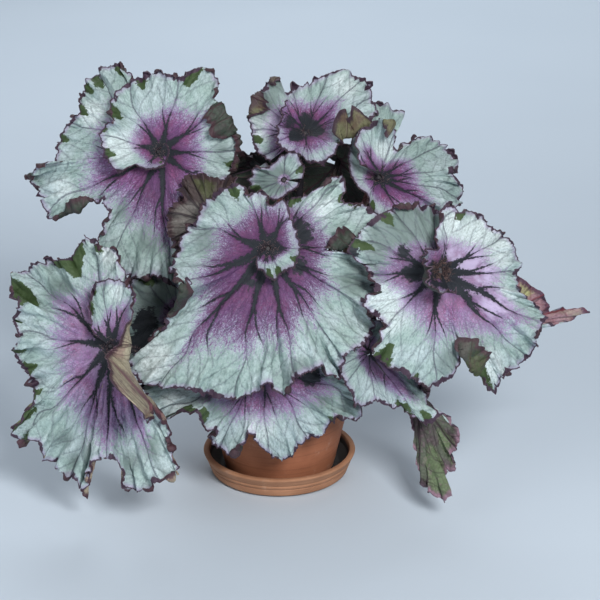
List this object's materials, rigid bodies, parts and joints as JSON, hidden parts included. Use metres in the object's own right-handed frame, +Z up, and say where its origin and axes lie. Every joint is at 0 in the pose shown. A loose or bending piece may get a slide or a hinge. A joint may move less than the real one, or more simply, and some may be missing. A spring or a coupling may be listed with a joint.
{
  "type": "potted rex begonia",
  "caption": "Rex begonia with spiral, ruffled silver and magenta leaves on curved stalks, growing in a plain clay pot on a clay saucer.",
  "frame": {"origin": "centre of the saucer's flat underside", "axes": "+Z up along the pot's axis; the plant's fullest side, which the picture shows, faces -Y; +X is the viewer's right"},
  "size_m": [0.5499, 0.3484, 0.404],
  "materials": {
    "saucer_clay": "unglazed terracotta, matt, with fine turning rings",
    "pot_clay": "unglazed terracotta, matt",
    "soil": "damp peat potting mix, crumbly",
    "leaf_blade": "silvery mint with a magenta middle, dark veins and a burgundy margin; satin, finely puckered",
    "leaf_stalk": "wine-red, fleshy and hairy"
  },
  "bodies": {
    "root": {"saucer": "saucer_clay", "pot": "pot_clay", "soil": "soil", "leaf_01_blade": "leaf_blade", "leaf_01_stalk": "leaf_stalk", "leaf_02_blade": "leaf_blade", "leaf_02_stalk": "leaf_stalk", "leaf_03_blade": "leaf_blade", "leaf_03_stalk": "leaf_stalk", "leaf_04_blade": "leaf_blade", "leaf_04_stalk": "leaf_stalk", "leaf_05_blade": "leaf_blade", "leaf_05_stalk": "leaf_stalk", "leaf_06_blade": "leaf_blade", "leaf_06_stalk": "leaf_stalk", "leaf_07_blade": "leaf_blade", "leaf_07_stalk": "leaf_stalk", "leaf_08_blade": "leaf_blade", "leaf_08_stalk": "leaf_stalk", "leaf_09_blade": "leaf_blade", "leaf_09_stalk": "leaf_stalk", "leaf_10_blade": "leaf_blade", "leaf_10_stalk": "leaf_stalk", "leaf_11_blade": "leaf_blade", "leaf_11_stalk": "leaf_stalk", "leaf_12_blade": "leaf_blade", "leaf_12_stalk": "leaf_stalk", "leaf_13_blade": "leaf_blade", "leaf_13_stalk": "leaf_stalk", "leaf_14_blade": "leaf_blade", "leaf_14_stalk": "leaf_stalk", "leaf_15_blade": "leaf_blade", "leaf_15_stalk": "leaf_stalk", "leaf_16_blade": "leaf_blade", "leaf_16_stalk": "leaf_stalk", "leaf_17_blade": "leaf_blade", "leaf_17_stalk": "leaf_stalk", "leaf_18_blade": "leaf_blade", "leaf_18_stalk": "leaf_stalk", "leaf_19_blade": "leaf_blade", "leaf_19_stalk": "leaf_stalk", "leaf_20_blade": "leaf_blade", "leaf_20_stalk": "leaf_stalk"}
  },
  "joints": []
}
